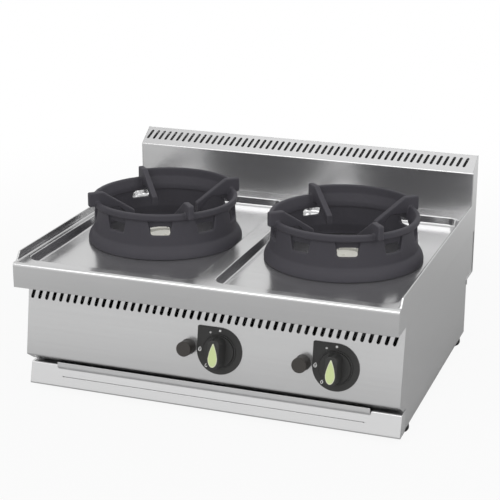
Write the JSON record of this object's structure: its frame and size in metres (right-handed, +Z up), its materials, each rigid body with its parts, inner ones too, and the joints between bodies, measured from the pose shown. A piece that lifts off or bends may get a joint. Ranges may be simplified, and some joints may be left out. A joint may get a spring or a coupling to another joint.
{
  "type": "wok range",
  "caption": "Countertop gas wok range: pressed worktop with sunken wells, lift-off cast wok rings, leaning control panel, slotted flue cowl and pull-out drip tray.",
  "frame": {"origin": "on the bench under the middle of the range, midway between front skirt and flue cowl", "axes": "+X to the right seen from the front, +Y to the back, +Z up"},
  "size_m": [0.8, 0.6978, 0.4182],
  "materials": {
    "satin_steel": "fine brushed satin stainless",
    "plain_steel": "plain mill finish",
    "cast_iron": "matt enamelled cast iron",
    "burner_iron": "cast, turned on top",
    "bright_cap": "turned satin",
    "tube_metal": "drawn tube",
    "screw_steel": "plain",
    "brass": "machined",
    "ceramic": "glazed ceramic",
    "black_rubber": "moulded",
    "black_plastic": "moulded heat-resistant plastic",
    "pale_green": "moulded insert"
  },
  "bodies": {
    "root": {"base_pan": "plain_steel", "bezel_left": "black_plastic", "bezel_right": "black_plastic", "burner_body_left": "burner_iron", "burner_body_right": "burner_iron", "control_panel": "satin_steel", "cowl_end_left": "satin_steel", "cowl_end_right": "satin_steel", "cowl_front": "satin_steel", "cowl_rear": "satin_steel", "electrode_left": "ceramic", "electrode_right": "ceramic", "feed_pipe_left": "tube_metal", "feed_pipe_right": "tube_metal", "feet": "black_rubber", "foot_screws": "screw_steel", "front_rail": "plain_steel", "gas_inlet": "brass", "gas_manifold": "tube_metal", "gas_valve_left": "brass", "gas_valve_right": "brass", "igniter_left": "black_plastic", "igniter_right": "black_plastic", "injector_holder_left": "brass", "injector_holder_right": "brass", "injector_left": "brass", "injector_right": "brass", "mixing_tube_left": "burner_iron", "mixing_tube_right": "burner_iron", "panel_screws": "screw_steel", "pilot_bracket_left": "plain_steel", "pilot_bracket_right": "plain_steel", "pilot_burner_left": "brass", "pilot_burner_right": "brass", "rear_panel": "satin_steel", "rear_rail": "plain_steel", "side_panel_left": "satin_steel", "side_panel_right": "satin_steel", "thermocouple_left": "tube_metal", "thermocouple_right": "tube_metal", "tray_runner_left": "plain_steel", "tray_runner_right": "plain_steel", "worktop": "satin_steel"},
    "ring_left": {"wok_ring_left": "cast_iron"},
    "cap_left": {"burner_cap_left": "bright_cap"},
    "plunger_left": {"valve_plunger_left": "brass"},
    "control_left": {"knob_left": "black_plastic", "knob_mark_left": "pale_green", "valve_stem_left": "screw_steel"},
    "press_left": {"button_left": "black_plastic"},
    "ring_right": {"wok_ring_right": "cast_iron"},
    "cap_right": {"burner_cap_right": "bright_cap"},
    "plunger_right": {"valve_plunger_right": "brass"},
    "control_right": {"knob_right": "black_plastic", "knob_mark_right": "pale_green", "valve_stem_right": "screw_steel"},
    "press_right": {"button_right": "black_plastic"},
    "tray": {"drip_tray": "satin_steel", "tray_front": "satin_steel"}
  },
  "joints": [
    {"name": "ring_lift_left", "type": "slide", "parent": "root", "child": "ring_left", "axis": [0, 0, 1], "range_m": [0, 0.15]},
    {"name": "cap_lift_left", "type": "slide", "parent": "root", "child": "cap_left", "axis": [0, 0, 1], "range_m": [0, 0.06]},
    {"name": "knob_push_left", "type": "slide", "parent": "root", "child": "plunger_left", "axis": [0, 0.9871, -0.1599], "range_m": [0, 0.003], "stiffness_N_per_m": 2500, "springref_m": -0.002},
    {"name": "knob_turn_left", "type": "hinge", "parent": "plunger_left", "child": "control_left", "pos_m": [0.027, -0.30093, 0.14519], "axis": [0, -0.9871, 0.1599], "range_deg": [0, 140]},
    {"name": "button_push_left", "type": "slide", "parent": "root", "child": "press_left", "axis": [0, 0.9871, -0.1599], "range_m": [0, 0.004], "stiffness_N_per_m": 1500, "springref_m": -0.002},
    {"name": "ring_lift_right", "type": "slide", "parent": "root", "child": "ring_right", "axis": [0, 0, 1], "range_m": [0, 0.15]},
    {"name": "cap_lift_right", "type": "slide", "parent": "root", "child": "cap_right", "axis": [0, 0, 1], "range_m": [0, 0.06]},
    {"name": "knob_push_right", "type": "slide", "parent": "root", "child": "plunger_right", "axis": [0, 0.9871, -0.1599], "range_m": [0, 0.003], "stiffness_N_per_m": 2500, "springref_m": -0.002},
    {"name": "knob_turn_right", "type": "hinge", "parent": "plunger_right", "child": "control_right", "pos_m": [0.267, -0.30093, 0.14519], "axis": [0, -0.9871, 0.1599], "range_deg": [0, 140]},
    {"name": "button_push_right", "type": "slide", "parent": "root", "child": "press_right", "axis": [0, 0.9871, -0.1599], "range_m": [0, 0.004], "stiffness_N_per_m": 1500, "springref_m": -0.002},
    {"name": "tray_slide", "type": "slide", "parent": "root", "child": "tray", "axis": [0, -1, 0], "range_m": [0, 0.45]}
  ]
}
